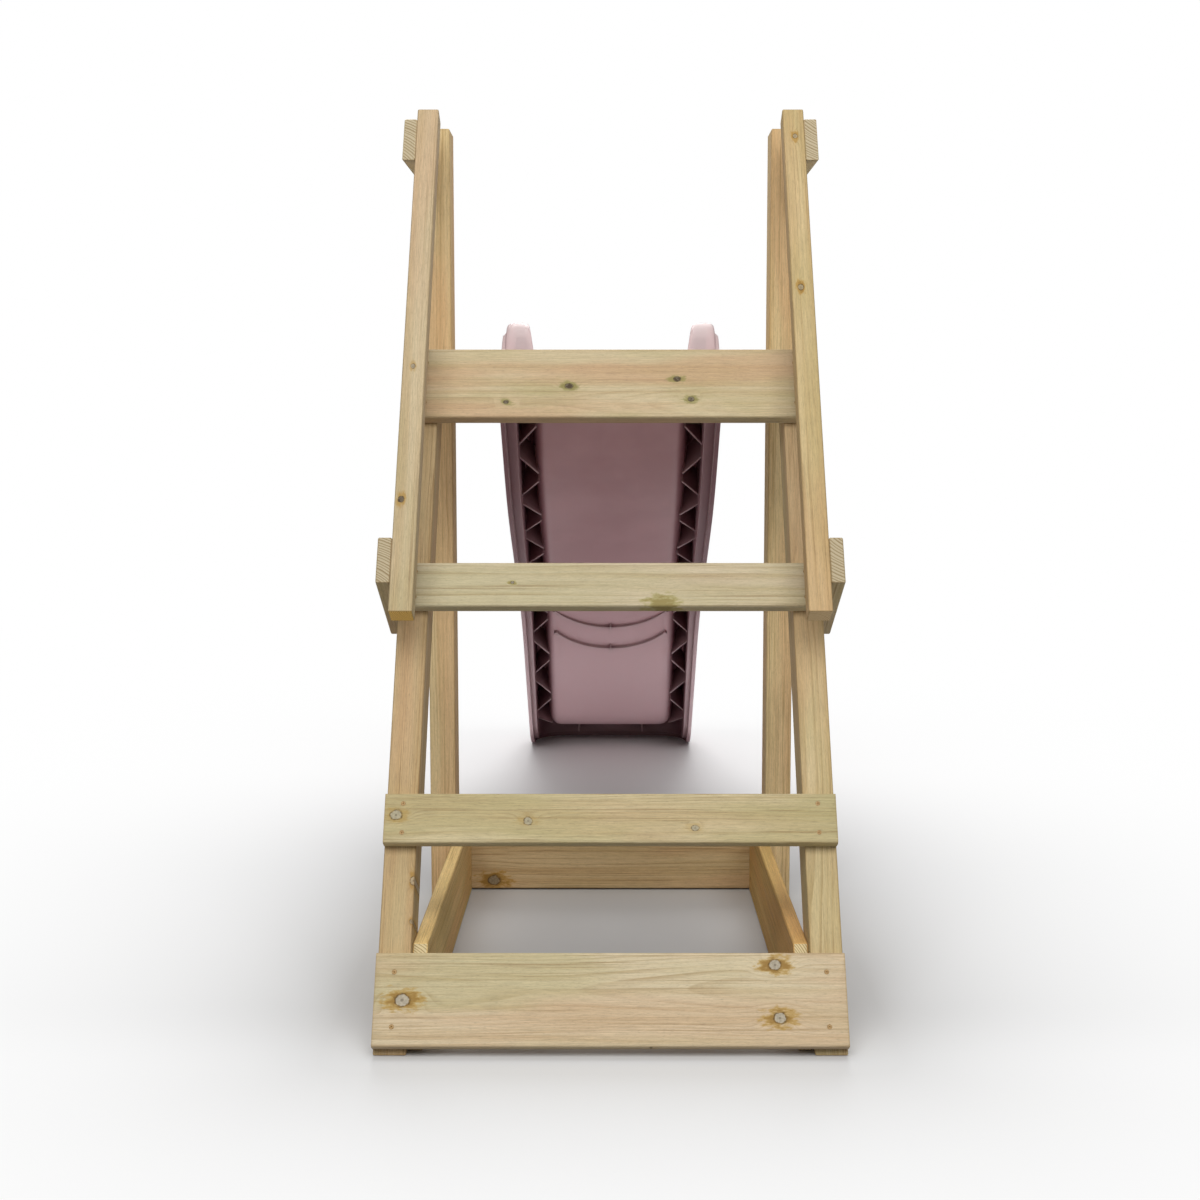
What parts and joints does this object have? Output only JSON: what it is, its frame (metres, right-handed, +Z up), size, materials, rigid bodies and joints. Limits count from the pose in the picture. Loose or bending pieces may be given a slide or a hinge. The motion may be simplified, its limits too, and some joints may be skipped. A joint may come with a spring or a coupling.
{
  "type": "freestanding kids slide",
  "caption": "Timber garden slide for small children: a leaning ladder with handrails, a small deck and a moulded wavy plastic chute that stands on the ground at its far end.",
  "frame": {"origin": "on the ground, in the middle of the whole slide's box", "axes": "+Z up, +Y from the ladder towards the foot of the chute, +X to the right of a child who climbs the ladder"},
  "size_m": [0.6846, 2.4152, 1.3716],
  "materials": {
    "pine": "planed pressure-treated pine, matt, with a faint green tinge",
    "warm_pine": "planed pine, matt, more orange",
    "pink_plastic": "satin moulded polyethylene, dusty pink",
    "steel": "zinc-plated wood screws, yellowed and dull"
  },
  "bodies": {
    "root": {"ladder_side_left": "pine", "ladder_side_right": "pine", "rear_post_left": "pine", "rear_post_right": "pine", "bottom_step": "pine", "second_step": "pine", "third_step": "pine", "deck_front_board": "pine", "handrail_left": "pine", "handrail_right": "pine", "lower_rail_bracket_left": "pine", "lower_rail_bracket_right": "pine", "upper_rail_bracket_left": "pine", "upper_rail_bracket_right": "pine", "ground_side_board_left": "warm_pine", "ground_side_board_right": "warm_pine", "rear_ground_board": "warm_pine", "deck_bearer_left": "warm_pine", "deck_bearer_right": "warm_pine", "rear_cross_rail": "pine", "front_deck_board": "pine", "rear_deck_board": "pine", "slide_chute": "pink_plastic", "bottom_step_screw_lower_left": "steel", "bottom_step_screw_upper_left": "steel", "bottom_step_screw_lower_right": "steel", "bottom_step_screw_upper_right": "steel", "second_step_screw_lower_left": "steel", "second_step_screw_upper_left": "steel", "second_step_screw_lower_right": "steel", "second_step_screw_upper_right": "steel", "third_step_screw_lower_left": "steel", "third_step_screw_upper_left": "steel", "third_step_screw_lower_right": "steel", "third_step_screw_upper_right": "steel", "deck_front_board_screw_lower_left": "steel", "deck_front_board_screw_upper_left": "steel", "deck_front_board_screw_lower_right": "steel", "deck_front_board_screw_upper_right": "steel", "lower_rail_bracket_screw_rail_1_left": "steel", "lower_rail_bracket_screw_rail_2_left": "steel", "lower_rail_bracket_screw_rail_1_right": "steel", "lower_rail_bracket_screw_rail_2_right": "steel", "lower_rail_bracket_screw_frame_1_left": "steel", "lower_rail_bracket_screw_frame_2_left": "steel", "lower_rail_bracket_screw_frame_1_right": "steel", "lower_rail_bracket_screw_frame_2_right": "steel", "upper_rail_bracket_screw_rail_1_left": "steel", "upper_rail_bracket_screw_rail_2_left": "steel", "upper_rail_bracket_screw_rail_1_right": "steel", "upper_rail_bracket_screw_rail_2_right": "steel", "upper_rail_bracket_screw_frame_1_left": "steel", "upper_rail_bracket_screw_frame_2_left": "steel", "upper_rail_bracket_screw_frame_1_right": "steel", "upper_rail_bracket_screw_frame_2_right": "steel"}
  },
  "joints": []
}
